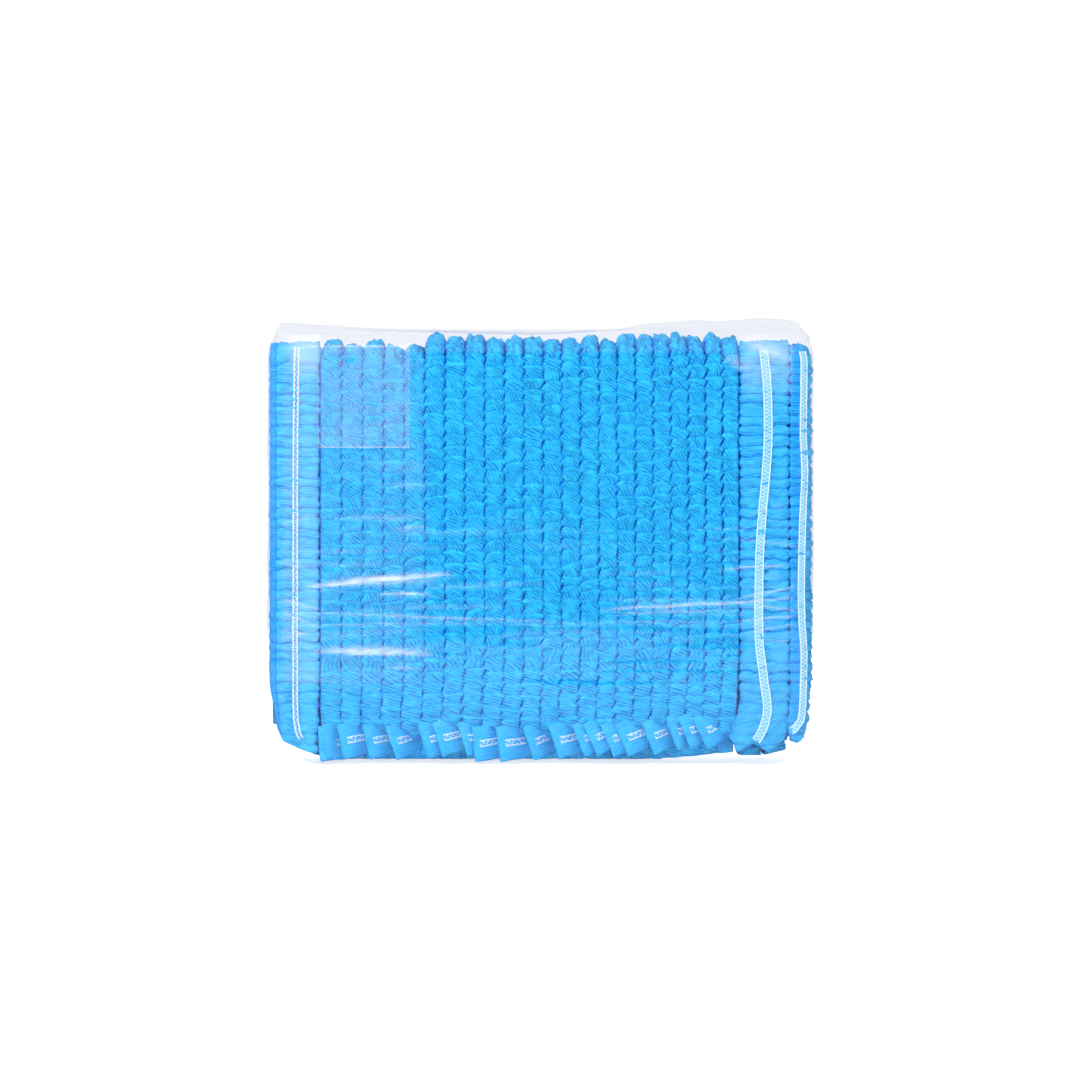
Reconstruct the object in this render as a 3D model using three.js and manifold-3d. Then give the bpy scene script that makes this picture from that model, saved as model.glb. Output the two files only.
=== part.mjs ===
// A clear side-gusset bag packed with disposable hairnets. Each hairnet is stored as a pleated strip of
// blue nonwoven, gathered along its length by the elastic stitched down the middle of its broad face.
// Two rows of strips stand on edge, front and back, and the strips at both ends lie face out.
// Millimetres, +Z up, front towards -Y. The origin is the middle of the flat base.

import * as THREE from "three";
import { mergeVertices } from "three/addons/utils/BufferGeometryUtils.js";
import Module from "manifold-3d";

const wasm = await Module();
wasm.setup();

// The bag
const BAG_WIDTH = 270;
const BAG_DEPTH = 52;
const BAG_HEIGHT = 224.4; // to the top of the mouth, which is pressed flat
const FILM_WALL = 1;
const FILM_CORNER = 9; // radius of the upright corners, seen from above
const CORNER_STEPS = 5;
const MOUTH_SAGS = [
  { x: -67, sag: 4.8 },
  { x: 5, sag: 6 },
  { x: 79, sag: 0 },
]; // how far the mouth's edge dips below its highest point
const MOUTH_END_SAG = 1;

// The strips
const GAP = 0.4; // between neighbours
const STRIPS_PER_ROW = 22;
const ROW_LEFT = -109.2;
const ROW_RIGHT = 98.6;
const PITCH_SHARE_LEFT = 1.12; // the strips at the left are the thickest, those at the right the thinnest
const ROW_FRONT = -24.4; // the pleated front of the front row
const ROW_BACK = -0.25; // where the front row meets the back row
const FRONT_PLEAT_STEPS = 22; // gathers shown along one strip
const BACK_PLEAT_STEPS = 6;
const PLEAT_WIGGLE = 0.6; // how far a gather pushes into its neighbour's waist
const PLEAT_RUFFLE = 0.9; // how far a waist falls back from the front
const STRIP_BASE = 1.4;
const STRIP_SHOULDER = 201;

// The loose ends: each strip's lower end turns to the left and lies over the next ones like a shingle
const END_ZONE = 23.2; // the ends lie below this height
const END_LENGTH = 22;
const END_HEIGHT = 16.6;
const END_THICK = 2.3;
const END_SWING = THREE.MathUtils.degToRad(20); // how far an end stands off the front, seen from above
const END_TILT_LEFT = THREE.MathUtils.degToRad(1);
const END_TILT_RIGHT = THREE.MathUtils.degToRad(9);
const END_ROOT_Y = -14.2; // the front of the strip's core behind the loose ends
const END_ROOT_X = 2.5; // where an end leaves its strip, from the strip's middle
const END_MIDDLE_Z = 12.4;
const END_STOP_X = -108.5; // no end reaches further left

const BAND_WIDTH = 4.6; // the elastic
const BAND_THICK = 0.4;

const nonwoven = new THREE.MeshStandardMaterial({ color: 0x38adf3, roughness: 0.85, metalness: 0 });
const elastic = new THREE.MeshStandardMaterial({ color: 0xd9f3fb, roughness: 0.7, metalness: 0 });
const film = new THREE.MeshStandardMaterial({
  color: 0xe6e6fb,
  roughness: 0.12,
  metalness: 0,
  transparent: true,
  opacity: 0.25,
});

const pack = new THREE.Group();

function addPiece(name, geometry, material) {
  const mesh = new THREE.Mesh(geometry, material);
  mesh.name = name;
  pack.add(mesh);
}

// A box of columns by levels, each of whose corners place() puts where the piece has it.
function shapedBox(columns, levels, place) {
  const box = new THREE.BoxGeometry(1, 1, 1, columns, 1, levels);
  const position = box.getAttribute("position");
  for (let i = 0; i < position.count; i++) {
    const column = Math.round((position.getX(i) + 0.5) * columns);
    const level = Math.round((position.getZ(i) + 0.5) * levels);
    position.setXYZ(i, ...place(column, position.getY(i) < 0, level));
  }
  return box;
}

function toSolid(geometry) {
  const bare = geometry.index ? geometry.toNonIndexed() : geometry.clone();
  bare.deleteAttribute("normal");
  bare.deleteAttribute("uv");
  const merged = mergeVertices(bare, 1e-4);
  return new wasm.Manifold(
    new wasm.Mesh({
      numProp: 3,
      vertProperties: new Float32Array(merged.getAttribute("position").array),
      triVerts: new Uint32Array(merged.index.array),
    }),
  );
}

function toGeometry(solid) {
  const mesh = solid.getMesh();
  const geometry = new THREE.BufferGeometry();
  geometry.setAttribute("position", new THREE.BufferAttribute(mesh.vertProperties, 3));
  geometry.setIndex(new THREE.BufferAttribute(mesh.triVerts, 1));
  return geometry;
}

// The film's outline at each height: its left and right edge, half its depth and its corner radius.
// lift is how far the inner wall's level lies above the outer wall's.
const BAG_LEVELS = [
  { z: 0, left: -108, right: 116, halfDepth: 22.5, corner: 6, lift: FILM_WALL },
  { z: 2.5, left: -116, right: 123, halfDepth: 25.2, corner: 7, lift: FILM_WALL },
  { z: 7, left: -124.5, right: 128.5, halfDepth: 25.7, corner: 8, lift: 0.4 },
  { z: 14, left: -130.5, right: 131.5, halfDepth: 26, corner: FILM_CORNER, lift: 0 },
  { z: 26, left: -134, right: 133.5, halfDepth: 26, corner: FILM_CORNER, lift: 0 },
  { z: 60, left: -135, right: 135, halfDepth: 26, corner: FILM_CORNER, lift: 0 },
  { z: 203, left: -135, right: 135, halfDepth: 26, corner: FILM_CORNER, lift: 0 },
  { z: 209.5, left: -134, right: 134, halfDepth: 23.8, corner: 8.5, lift: -0.6 },
  { z: 213.5, left: -133, right: 133, halfDepth: 18, corner: 8, lift: -0.9 },
  { z: 216, left: -132, right: 131.5, halfDepth: 9.5, corner: 6, lift: -0.9 },
  { z: 217.2, left: -131.5, right: 131, halfDepth: 1.9, corner: 1.8, lift: -0.9 },
  { z: BAG_HEIGHT, left: -131, right: 130.5, halfDepth: 1.9, corner: 1.8, lift: 2 },
];

function mouthSag(x) {
  const point = MOUTH_SAGS.find((candidate) => candidate.x === x);
  return point ? point.sag : MOUTH_END_SAG;
}

// The bag's outline seen from above, with a point on both long sides wherever the mouth's edge bends.
function bagOutline(halfWidth, halfDepth, r) {
  const outline = new THREE.Shape();
  outline.absarc(halfWidth - r, halfDepth - r, r, 0, Math.PI / 2);
  for (const { x } of [...MOUTH_SAGS].reverse()) outline.lineTo(x, halfDepth);
  outline.absarc(r - halfWidth, halfDepth - r, r, Math.PI / 2, Math.PI);
  outline.absarc(r - halfWidth, r - halfDepth, r, Math.PI, 1.5 * Math.PI);
  for (const { x } of MOUTH_SAGS) outline.lineTo(x, -halfDepth);
  outline.absarc(halfWidth - r, r - halfDepth, r, 1.5 * Math.PI, 2 * Math.PI);
  outline.closePath();
  return outline;
}

function filmSolid(inset, lifted) {
  const halfWidth = BAG_WIDTH / 2;
  const halfDepth = BAG_DEPTH / 2;
  const r = FILM_CORNER;
  const steps = BAG_LEVELS.length - 1;
  const body = new THREE.ExtrudeGeometry(bagOutline(halfWidth, halfDepth, r), {
    depth: steps,
    steps,
    bevelEnabled: false,
    curveSegments: CORNER_STEPS,
  });
  const position = body.getAttribute("position");
  for (let i = 0; i < position.count; i++) {
    const x = position.getX(i);
    const y = position.getY(i);
    const step = Math.round(position.getZ(i));
    const level = BAG_LEVELS[step];
    const corner = level.corner - inset;
    const scale = corner / r;
    const alongSide = Math.abs(x) < halfWidth - r - 1;
    const edgeX = x < 0 ? level.left + inset + corner : level.right - inset - corner;
    const cornerX = edgeX + (x - Math.sign(x) * (halfWidth - r)) * scale;
    const edgeY = Math.sign(y) * (level.halfDepth - inset - corner);
    position.setXYZ(
      i,
      alongSide ? x : cornerX,
      edgeY + (y - Math.sign(y) * (halfDepth - r)) * scale,
      level.z + (lifted ? level.lift : 0) - (step === steps ? mouthSag(x) : 0),
    );
  }
  return toSolid(body);
}

// The film is hollow, and its mouth is a slit along the flat top.
function makeBag() {
  const bag = filmSolid(0, false).subtract(filmSolid(FILM_WALL, true));
  addPiece("bag_film", toGeometry(bag), film);
}

// Where two neighbouring strips meet: even steps of a pitch that shrinks towards the right.
function boundary(index) {
  const mean = (ROW_RIGHT - ROW_LEFT) / STRIPS_PER_ROW;
  const first = mean * PITCH_SHARE_LEFT;
  const change = (2 * (mean - first)) / (STRIPS_PER_ROW - 1);
  return ROW_LEFT + first * index + (change * index * (index - 1)) / 2;
}

function wiggle(index, level) {
  const inside = index > 0 && index < STRIPS_PER_ROW;
  return inside ? PLEAT_WIGGLE * ((index + level) % 2 ? 1 : -1) : 0;
}

// The levels of a strip on edge: its core behind the loose ends, the gathers, and the rounded top.
function rowLevels(pleatSteps) {
  const levels = [
    { z: STRIP_BASE, front: END_ROOT_Y, draw: 0 },
    { z: END_ZONE - 0.4, front: END_ROOT_Y, draw: 0 },
  ];
  for (let step = 0; step <= pleatSteps; step++) {
    const z = END_ZONE + ((STRIP_SHOULDER - END_ZONE) * step) / pleatSteps;
    levels.push({ z, front: ROW_FRONT + (step % 2 ? PLEAT_RUFFLE : 0), draw: 0 });
  }
  levels.push({ z: 206.5, front: -22.2, draw: 0.5 });
  levels.push({ z: 210.6, front: -17, draw: 1.2 });
  levels.push({ z: 213, front: -8.5, draw: 2.2 });
  return levels;
}

// No two tops are quite level, and the first few are lower.
function topDrop(index) {
  return 0.7 * (1 + Math.sin(index * 2.4)) + (index < 5 ? 3 : 0);
}

function columnSolid(index, levels) {
  const base = index === 0 ? 4.2 : STRIP_BASE;
  const last = levels.length - 1;
  const core = shapedBox(1, last, (column, atFront, level) => {
    const row = levels[level];
    const edge = index + column;
    const side = column ? -1 : 1;
    const x = boundary(edge) + wiggle(edge, level) + side * (GAP / 2 + row.draw);
    const z = level === 0 ? base : row.z - (level > last - 3 ? topDrop(index) : 0);
    return [x, atFront ? row.front : ROW_BACK - row.draw / 2, z];
  });
  return toSolid(core);
}

// One loose end: a flat slab that leaves the core and runs forward to the left.
function endSolid(index) {
  const middle = (boundary(index) + boundary(index + 1)) / 2;
  const rootX = middle + END_ROOT_X;
  const reach = Math.min(END_LENGTH, (rootX - END_STOP_X) / Math.cos(END_SWING));
  const share = index / (STRIPS_PER_ROW - 1);
  const tilt = THREE.MathUtils.lerp(END_TILT_LEFT, END_TILT_RIGHT, share);
  const slab = new THREE.BoxGeometry(reach, END_THICK, END_HEIGHT);
  slab.translate(-reach / 2, 0, 0);
  slab.rotateY(-tilt);
  slab.rotateZ(END_SWING);
  const drop = (reach / 2) * Math.sin(tilt); // keeps the tilted end over the base
  slab.translate(rootX, END_ROOT_Y, END_MIDDLE_Z + drop);
  return toSolid(slab);
}

function mirrorToBack(geometry) {
  const back = geometry.index ? geometry.toNonIndexed() : geometry.clone();
  const position = back.getAttribute("position");
  for (let i = 0; i < position.count; i++) position.setY(i, -position.getY(i));
  for (let i = 0; i < position.count; i += 3) {
    const second = [position.getX(i + 1), position.getY(i + 1), position.getZ(i + 1)];
    position.setXYZ(i + 1, position.getX(i + 2), position.getY(i + 2), position.getZ(i + 2));
    position.setXYZ(i + 2, ...second);
  }
  back.deleteAttribute("normal");
  back.deleteAttribute("uv");
  return back;
}

function addFrontAndBack(name, geometry) {
  addPiece(`${name}_front`, geometry, nonwoven);
  addPiece(`${name}_back`, mirrorToBack(geometry), nonwoven);
}

function makeRows() {
  const frontLevels = rowLevels(FRONT_PLEAT_STEPS);
  const backLevels = rowLevels(BACK_PLEAT_STEPS);
  for (let index = 0; index < STRIPS_PER_ROW; index++) {
    const number = String(index + 1).padStart(2, "0");
    const end = endSolid(index);
    const front = toGeometry(columnSolid(index, frontLevels).add(end));
    const back = toGeometry(columnSolid(index, backLevels).add(end));
    addPiece(`hairnet_front_${number}`, front, nonwoven);
    addPiece(`hairnet_back_${number}`, mirrorToBack(back), nonwoven);
  }
}

// A strip that lies face out. rows gives its outline from the bottom up, each row with the points
// [x, y, z] of its left edge, middle and right edge, and back with how deep the strip is there.
function faceStrip(rows) {
  return shapedBox(2, rows.length - 1, (column, atFront, level) => {
    const row = rows[level];
    const [x, y, z] = [row.left, row.middle, row.right][column];
    const [backX, backY] = atFront ? [x, y] : [row.backX[column], row.backY[column]];
    return [backX, backY, z];
  });
}

const FACE_FRONT = -24; // the broad face of a strip that lies face out
const FACE_BACK = -15.8;
const FACE_SHOULDER = 203;
const FACE_TOP = 209;
const FACE_TOP_FRONT = -19.5;
const RIB_STEPS = 12;
const RIB_DEPTH = 0.5;

// Adds even ribs between two heights to the rows of a strip that lies face out.
function ribRows(from, to, rowAt) {
  const rows = [];
  for (let step = 0; step <= RIB_STEPS; step++) {
    rows.push(rowAt(from + ((to - from) * step) / RIB_STEPS, step % 2 ? RIB_DEPTH : 0));
  }
  return rows;
}

function leftFaceRow(z, rib, skew = 0, tuck = 0) {
  return {
    left: [-132.4 + rib + tuck, -18.4, z + skew],
    middle: [-127.5 + tuck * 0.6, -23.5 + rib, z + skew * 0.45],
    right: [-110.2 - rib, FACE_FRONT + rib, z],
    backX: [-132.6 + rib + tuck, -127.5 + tuck * 0.6, -110.2 - rib],
    backY: [FACE_BACK, FACE_BACK, FACE_BACK],
  };
}

function makeLeftFace() {
  const top = leftFaceRow(FACE_TOP, 0, 0, 4);
  top.middle[1] = FACE_TOP_FRONT;
  top.right[1] = FACE_TOP_FRONT;
  const rows = [
    leftFaceRow(6.8, 0, 25, 2.2),
    leftFaceRow(24, RIB_DEPTH, 14, 1),
    ...ribRows(45, FACE_SHOULDER, leftFaceRow),
    top,
  ];
  addFrontAndBack("hairnet_left", faceStrip(rows));
}

function rightFaceRow(z, rib) {
  return {
    left: [99.2 + rib, FACE_FRONT + rib, z],
    middle: [111.1, FACE_FRONT + rib, z],
    right: [123 - rib, FACE_FRONT + rib, z],
    backX: [99.2 + rib, 111.1, 123 - rib],
    backY: [FACE_BACK, FACE_BACK, FACE_BACK],
  };
}

// One row of a cut end that is turned aside: its points' x and z are given one by one.
function turnedRow(left, middle, right, backY) {
  return {
    left: [left[0], FACE_FRONT, left[1]],
    middle: [middle[0], FACE_FRONT, middle[1]],
    right: [right[0], FACE_FRONT, right[1]],
    backX: [left[0], middle[0], right[0]],
    backY: [backY, backY, backY],
  };
}

function makeRightFace() {
  const top = rightFaceRow(FACE_TOP, 1.5);
  for (const point of [top.left, top.middle, top.right]) point[1] = FACE_TOP_FRONT;
  const rows = [
    turnedRow([94.6, 9.4], [105, 8.8], [113, 6.8], -18.8),
    turnedRow([95.6, 16], [108, 15], [121.8, 13.8], -18.8),
    turnedRow([99.2, 23], [110.6, 24], [123, 25], -18.4),
    turnedRow([99.2, 36], [111.1, 34.5], [123, 33], FACE_BACK),
    ...ribRows(45, FACE_SHOULDER, rightFaceRow),
    top,
  ];
  addFrontAndBack("hairnet_right", faceStrip(rows));
}

// The outermost strip is bent round the upright corner of the bag.
function cornerRow(z, rib, shrink = 0) {
  return {
    left: [123.5, -23.6 + rib, z],
    middle: [131.6 - rib - shrink, -20.6 + rib, z],
    right: [133.2 - rib - shrink, -0.4, z],
    backX: [123.5, 125.2, 125.2],
    backY: [-12.6, -8, -0.4],
  };
}

function makeCorner() {
  const top = cornerRow(FACE_TOP - 1, 0, 2.5);
  top.left[1] = -19;
  top.middle[1] = -17.5;
  const rows = [
    cornerRow(12, 0, 4.4),
    cornerRow(24, 0, 1.4),
    cornerRow(36, RIB_DEPTH, 0.3),
    ...ribRows(50, FACE_SHOULDER - 1, cornerRow),
    top,
  ];
  addFrontAndBack("hairnet_corner", faceStrip(rows));
}

// The strips inside the two ends of the pack, behind those that lie face out.
const INNER_STRIPS = [
  { name: "hairnet_inner_left_1", left: -133.2, right: -122.4, leftBase: 34, rightBase: 12.5 },
  { name: "hairnet_inner_left_2", left: -122, right: -110.9, leftBase: 12, rightBase: 7.5 },
  { name: "hairnet_inner_right_1", left: 99.2, right: 110.9, leftBase: 4, rightBase: 4 },
  { name: "hairnet_inner_right_2", left: 111.3, right: 123, leftBase: 4, rightBase: 7 },
];
const INNER_HALF_DEPTH = 12.2;
const INNER_TOP = 205;
const INNER_STEPS = 6;

function makeInner() {
  for (const { name, left, right, leftBase, rightBase } of INNER_STRIPS) {
    const strip = shapedBox(1, INNER_STEPS, (column, atFront, level) => {
      const base = column ? rightBase : leftBase;
      const share = level / INNER_STEPS;
      const waist = level % 2 ? PLEAT_RUFFLE : 0;
      const atTop = level === INNER_STEPS;
      const halfDepth = atTop ? 5 : INNER_HALF_DEPTH - waist;
      const draw = atTop ? 2 : waist / 2;
      const x = column ? right - draw : left + draw;
      return [x, atFront ? -halfDepth : halfDepth, base + (INNER_TOP - base) * share];
    });
    addPiece(name, strip, nonwoven);
  }
}

// The elastic's middle line on each strip that lies face out: x and z from the bottom up, and the y of
// the strip's face there. slope is how the face falls back towards the right.
const BANDS = [
  {
    name: "elastic_left",
    slope: 0,
    route: [
      { x: -119.8, z: 15, y: -24.3 },
      { x: -122.2, z: 34, y: -24.3 },
      { x: -122.2, z: 110, y: -24.3 },
      { x: -121.4, z: 202.5, y: -24.3 },
    ],
  },
  {
    name: "elastic_right",
    slope: 0,
    route: [
      { x: 107.4, z: 12.6, y: -24.3 },
      { x: 110.9, z: 22, y: -24.3 },
      { x: 111.2, z: 43, y: -24.3 },
      { x: 109.7, z: 82, y: -24.3 },
      { x: 110.8, z: 141, y: -24.3 },
      { x: 111.9, z: 202.5, y: -24.3 },
    ],
  },
  {
    name: "elastic_corner",
    slope: 0.36,
    route: [
      { x: 126, z: 26, y: -23.3 },
      { x: 128, z: 44, y: -22.6 },
      { x: 128.3, z: 110, y: -22.5 },
      { x: 128.3, z: 200, y: -22.5 },
    ],
  },
];

function makeBands() {
  for (const { name, slope, route } of BANDS) {
    const band = shapedBox(1, route.length - 1, (column, atFront, level) => {
      const { x, y, z } = route[level];
      const across = (column ? 0.5 : -0.5) * BAND_WIDTH;
      return [x + across, y + across * slope - (atFront ? BAND_THICK : 0), z];
    });
    addPiece(name, band, elastic);
  }
}

makeBag();
makeRows();
makeLeftFace();
makeRightFace();
makeCorner();
makeInner();
makeBands();

export default pack;
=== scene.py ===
from math import cos, floor, hypot, pi, radians, sin, tan

import bmesh
import bpy
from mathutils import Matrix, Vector, noise


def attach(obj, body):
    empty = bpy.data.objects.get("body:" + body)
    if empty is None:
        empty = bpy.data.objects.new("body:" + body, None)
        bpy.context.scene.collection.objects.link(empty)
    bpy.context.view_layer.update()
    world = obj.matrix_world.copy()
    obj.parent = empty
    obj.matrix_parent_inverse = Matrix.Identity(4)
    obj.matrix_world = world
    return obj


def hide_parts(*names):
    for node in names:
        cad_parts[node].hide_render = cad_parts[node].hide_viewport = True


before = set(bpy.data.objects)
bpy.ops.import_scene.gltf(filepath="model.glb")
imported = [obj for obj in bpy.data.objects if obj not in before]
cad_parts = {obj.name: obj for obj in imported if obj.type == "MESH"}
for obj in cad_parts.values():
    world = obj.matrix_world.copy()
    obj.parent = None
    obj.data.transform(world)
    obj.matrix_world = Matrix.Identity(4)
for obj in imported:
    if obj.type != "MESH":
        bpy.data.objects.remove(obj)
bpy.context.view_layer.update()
print("frame loaded:", len(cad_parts), "CAD nodes")

# Shapes are worked out in millimetres, with the pack's front at -Y, and become metres in finishPiece.
metresPerUnit = 0.001


# small helpers

def clamp(value, low=0.0, high=1.0):
    return max(low, min(high, value))


def ease(value):
    value = clamp(value)
    return value * value * (3 - 2 * value)


def mix(a, b, share):
    return a + (b - a) * share


def bell(distance):  # 1 at no distance, and less on both sides
    return 2.718 ** (-distance * distance)


def wobble(a, b=0.0, c=0.0):  # smooth noise, about -1 to 1
    return noise.noise(Vector((a, b, c)))


def scatter(a, b=0.0):  # -1 to 1, the same in every run
    return 2 * ((sin(a * 12.9898 + b * 78.233 + 3.7) * 43758.5453) % 1) - 1


def onLine(points, share):  # each point starts with its own share, and the rest is mixed
    for first, second in zip(points, points[1:]):
        if share <= second[0]:
            part = clamp((share - first[0]) / max(second[0] - first[0], 1e-9))
            return [mix(a, b, part) for a, b in zip(first[1:], second[1:])]
    return list(points[-1][1:])


# mesh helpers

def addGrid(bm, columns, rows, place, cloth=None, paintedLightShade=None):
    # a sheet of columns by rows quads, whose corner at u, v goes to place(u, v)
    if paintedLightShade:
        paintedLightShadeLayer = bm.verts.layers.float.get("paintedLightShade") or bm.verts.layers.float.new("paintedLightShade")
    verts = bmesh.ops.create_grid(bm, x_segments=columns, y_segments=rows, size=0.5)["verts"]
    spots = {vert: (vert.co.x + 0.5, vert.co.y + 0.5) for vert in verts}
    faces = {face for vert in verts for face in vert.link_faces}
    if cloth:
        layer = bm.loops.layers.uv.get("cloth") or bm.loops.layers.uv.new("cloth")
        for face in faces:
            corners = [spots[loop.vert] for loop in face.loops]
            middle = [sum(axis) / len(corners) for axis in zip(*corners)]
            for loop, corner in zip(face.loops, corners):
                loop[layer].uv = cloth(*corner, *middle)
    for vert, (u, v) in spots.items():
        vert.co = place(u, v)
        # painted light and shade at each corner, which the cloth material mixes into its colour
        if paintedLightShade:
            vert[paintedLightShadeLayer] = paintedLightShade(u, v)
    return spots, list(faces)


def fillHoles(bm, verts):
    rim = {edge for vert in verts if vert.is_valid for edge in vert.link_edges if edge.is_boundary}
    bmesh.ops.holes_fill(bm, edges=list(rim), sides=0)


def closeBehind(bm, spots, toBack):
    # walls run from the sheet's free edges to a flat back, which is then filled
    edges = {edge for vert in spots for edge in vert.link_edges if edge.is_boundary}
    made = bmesh.ops.extrude_edge_only(bm, edges=list(edges))["geom"]
    behind = [part for part in made if isinstance(part, bmesh.types.BMVert)]
    fresh = set(behind)
    for vert in behind:
        source = next(edge.other_vert(vert) for edge in vert.link_edges if edge.other_vert(vert) not in fresh)
        vert.co = toBack(source.co, *spots[source])
    bmesh.ops.remove_doubles(bm, verts=behind, dist=0.01)
    fillHoles(bm, fresh)


def closeRound(bm, spots, reach, topToo=False):
    # a sheet bent to a tube is welded along its seam, and its ends are filled or, at the top, welded flat
    seam = [vert for vert, (u, v) in spots.items() if u < 0.001 or u > 0.999 or (topToo and v > 0.999)]
    bmesh.ops.remove_doubles(bm, verts=seam, dist=reach)
    fillHoles(bm, spots)


def addTube(bm, points, radiusAt, around=6, flatness=1.0):
    # a thread along points, which lie in an upright plane facing the viewer or nearly so
    last = len(points) - 1

    def place(u, v):
        k = round(v * last)
        along = points[min(k + 1, last)] - points[max(k - 1, 0)]
        side = Vector((along.z, 0, -along.x)).normalized()
        out = side.cross(along).normalized()
        radius = radiusAt(v)
        turn = 2 * pi * u
        return points[k] + (side * cos(turn) + out * sin(turn) * flatness) * radius

    spots, _ = addGrid(bm, around, last, place, lambda u, v, mu, mv: (v * last * 0.1, u))
    closeRound(bm, spots, 0.001)


def toOtherSide(bm):  # turns a front piece into its twin at the back
    bmesh.ops.scale(bm, vec=(1, -1, 1), verts=bm.verts)


def finishPiece(name, bm, material, standsFor):
    bmesh.ops.scale(bm, vec=(metresPerUnit,) * 3, verts=bm.verts)
    bmesh.ops.recalc_face_normals(bm, faces=bm.faces)
    mesh = bpy.data.meshes.new(name)
    bm.to_mesh(mesh)
    bm.free()
    mesh.shade_smooth()
    for each in material if isinstance(material, list) else [material]:
        mesh.materials.append(each)
    piece = bpy.data.objects.new(name, mesh)
    bpy.context.scene.collection.objects.link(piece)
    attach(piece, "root")
    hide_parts(*standsFor)


# materials

def setInputs(tree, node, inputs):
    # each input gets a value, or is linked to an output of another node
    for label, value in inputs.items():
        if isinstance(value, bpy.types.NodeSocket):
            tree.links.new(value, node.inputs[label])
        else:
            node.inputs[label].default_value = value


def newNode(tree, kind, inputs=None):
    node = tree.nodes.new("ShaderNode" + kind)
    setInputs(tree, node, inputs or {})
    return node


def mathNode(tree, operation, *values, limit=False):
    node = newNode(tree, "Math")
    node.operation = operation
    node.use_clamp = limit
    setInputs(tree, node, dict(enumerate(values)))
    return node.outputs[0]


def newMaterial(name):
    material = bpy.data.materials.new(name)
    material.use_nodes = True
    return material, material.node_tree


grainSizes = {
    "Crease Scale": 0.75,
    "Crease Height": 1.5,
    "Pleat Scale": 0.23,
    "Pleat Height": 0.9,
    "Bond Scale": 0.9,
    "Bond Height": 0.3,
    "Fibre Scale": 3.2,
    "Fibre Height": 0.25,
}


def nonwovenGrain():
    # fine creases that run along the cloth's U, the bond points of spunbond cloth, and loose fibres
    group = bpy.data.node_groups.new("nonwovenGrain", "ShaderNodeTree")
    sockets = group.interface
    sockets.new_socket(name="Cloth", in_out="INPUT", socket_type="NodeSocketVector")
    for label, value in grainSizes.items():
        socket = sockets.new_socket(name=label, in_out="INPUT", socket_type="NodeSocketFloat")
        socket.default_value = value
    for label in ("Height", "Shade"):
        sockets.new_socket(name=label, in_out="OUTPUT", socket_type="NodeSocketFloat")
    given = group.nodes.new("NodeGroupInput").outputs
    end = group.nodes.new("NodeGroupOutput")

    def texture(kind, output, inputs):
        return newNode(group, "Tex" + kind, inputs).outputs[output]

    def math(operation, *values, limit=False):
        return mathNode(group, operation, *values, limit=limit)

    cloth = given["Cloth"]
    stretch = newNode(group, "Mapping", {"Scale": (0.22, 1.0, 1.0), "Vector": cloth}).outputs["Vector"]
    creaseSizes = {"Detail": 2.5, "Roughness": 0.55, "Scale": given["Crease Scale"]}
    crease = texture("Noise", "Fac", {"Vector": stretch, **creaseSizes})
    pleatSizes = {"Distortion": 4.5, "Detail": 2, "Detail Scale": 0.6, "Scale": given["Pleat Scale"]}
    pleat = texture("Wave", "Fac", {"Vector": stretch, **pleatSizes})
    pleat.node.bands_direction = "Y"
    patches = texture("Noise", "Fac", {"Vector": cloth, "Scale": 0.21, "Detail": 1})
    patchy = math("MULTIPLY_ADD", patches, 2.6, -0.7, limit=True)
    bond = texture("Voronoi", "Distance", {"Vector": cloth, "Randomness": 0.25, "Scale": given["Bond Scale"]})
    pit = newNode(group, "MapRange", {"Value": bond, "From Min": 0.12, "From Max": 0.38})
    pit.interpolation_type = "SMOOTHSTEP"
    fibre = texture("Noise", "Fac", {"Vector": cloth, "Detail": 3, "Scale": given["Fibre Scale"]})
    pleatHeight = math("MULTIPLY", patchy, given["Pleat Height"])
    height = math("MULTIPLY", crease, given["Crease Height"])
    height = math("ADD", height, math("MULTIPLY", pleat, pleatHeight))
    height = math("MULTIPLY_ADD", pit.outputs["Result"], given["Bond Height"], height)
    height = math("MULTIPLY_ADD", fibre, given["Fibre Height"], height)
    # the Shade output is partly the cloth's own uneven colour and partly painted shade: darker in the pleats'
    # grooves and where the crease and fibre relief is low
    dark = math("MULTIPLY", math("POWER", math("SUBTRACT", 1, pleat), 3), pleatHeight)
    shade = math("MULTIPLY_ADD", fibre, 0.9, math("MULTIPLY_ADD", crease, 1.3, -0.32))
    shade = math("MULTIPLY_ADD", dark, -1.0, shade, limit=True)
    setInputs(group, end, {"Height": height, "Shade": shade})
    return group


clothLook = {
    "light": (0.036, 0.65, 0.98, 1),
    "dark": (0.004, 0.28, 0.86, 1),
    "roughness": 0.8,
    "specular": 0.12,
    "bumpStrength": 0.75,
    "bumpDistance": 0.0012,
}

# where a strip lies face out its cloth is stretched thinner and looks paler
faceClothLook = {
    **clothLook,
    "light": (0.065, 0.57, 0.92, 1),
    "dark": (0.008, 0.30, 0.82, 1),
    "bumpStrength": 0.6,
    "bumpDistance": 0.001,
}

# the loose ends are ungathered, so they are smoother
endClothLook = {**faceClothLook, "light": (0.05, 0.57, 0.97, 1), "dark": (0.010, 0.36, 0.92, 1)}

elasticLook = {
    "light": (0.84, 0.96, 0.99, 1),
    "dark": (0.52, 0.84, 0.96, 1),
    "roughness": 0.6,
    "specular": 0.3,
    "bumpStrength": 0.6,
    "bumpDistance": 0.0003,
}

tapeLook = {
    "light": (0.22, 0.72, 0.96, 1),
    "dark": (0.08, 0.56, 0.93, 1),
    "roughness": 0.7,
    "specular": 0.2,
    "bumpStrength": 0.5,
    "bumpDistance": 0.0003,
}

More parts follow.
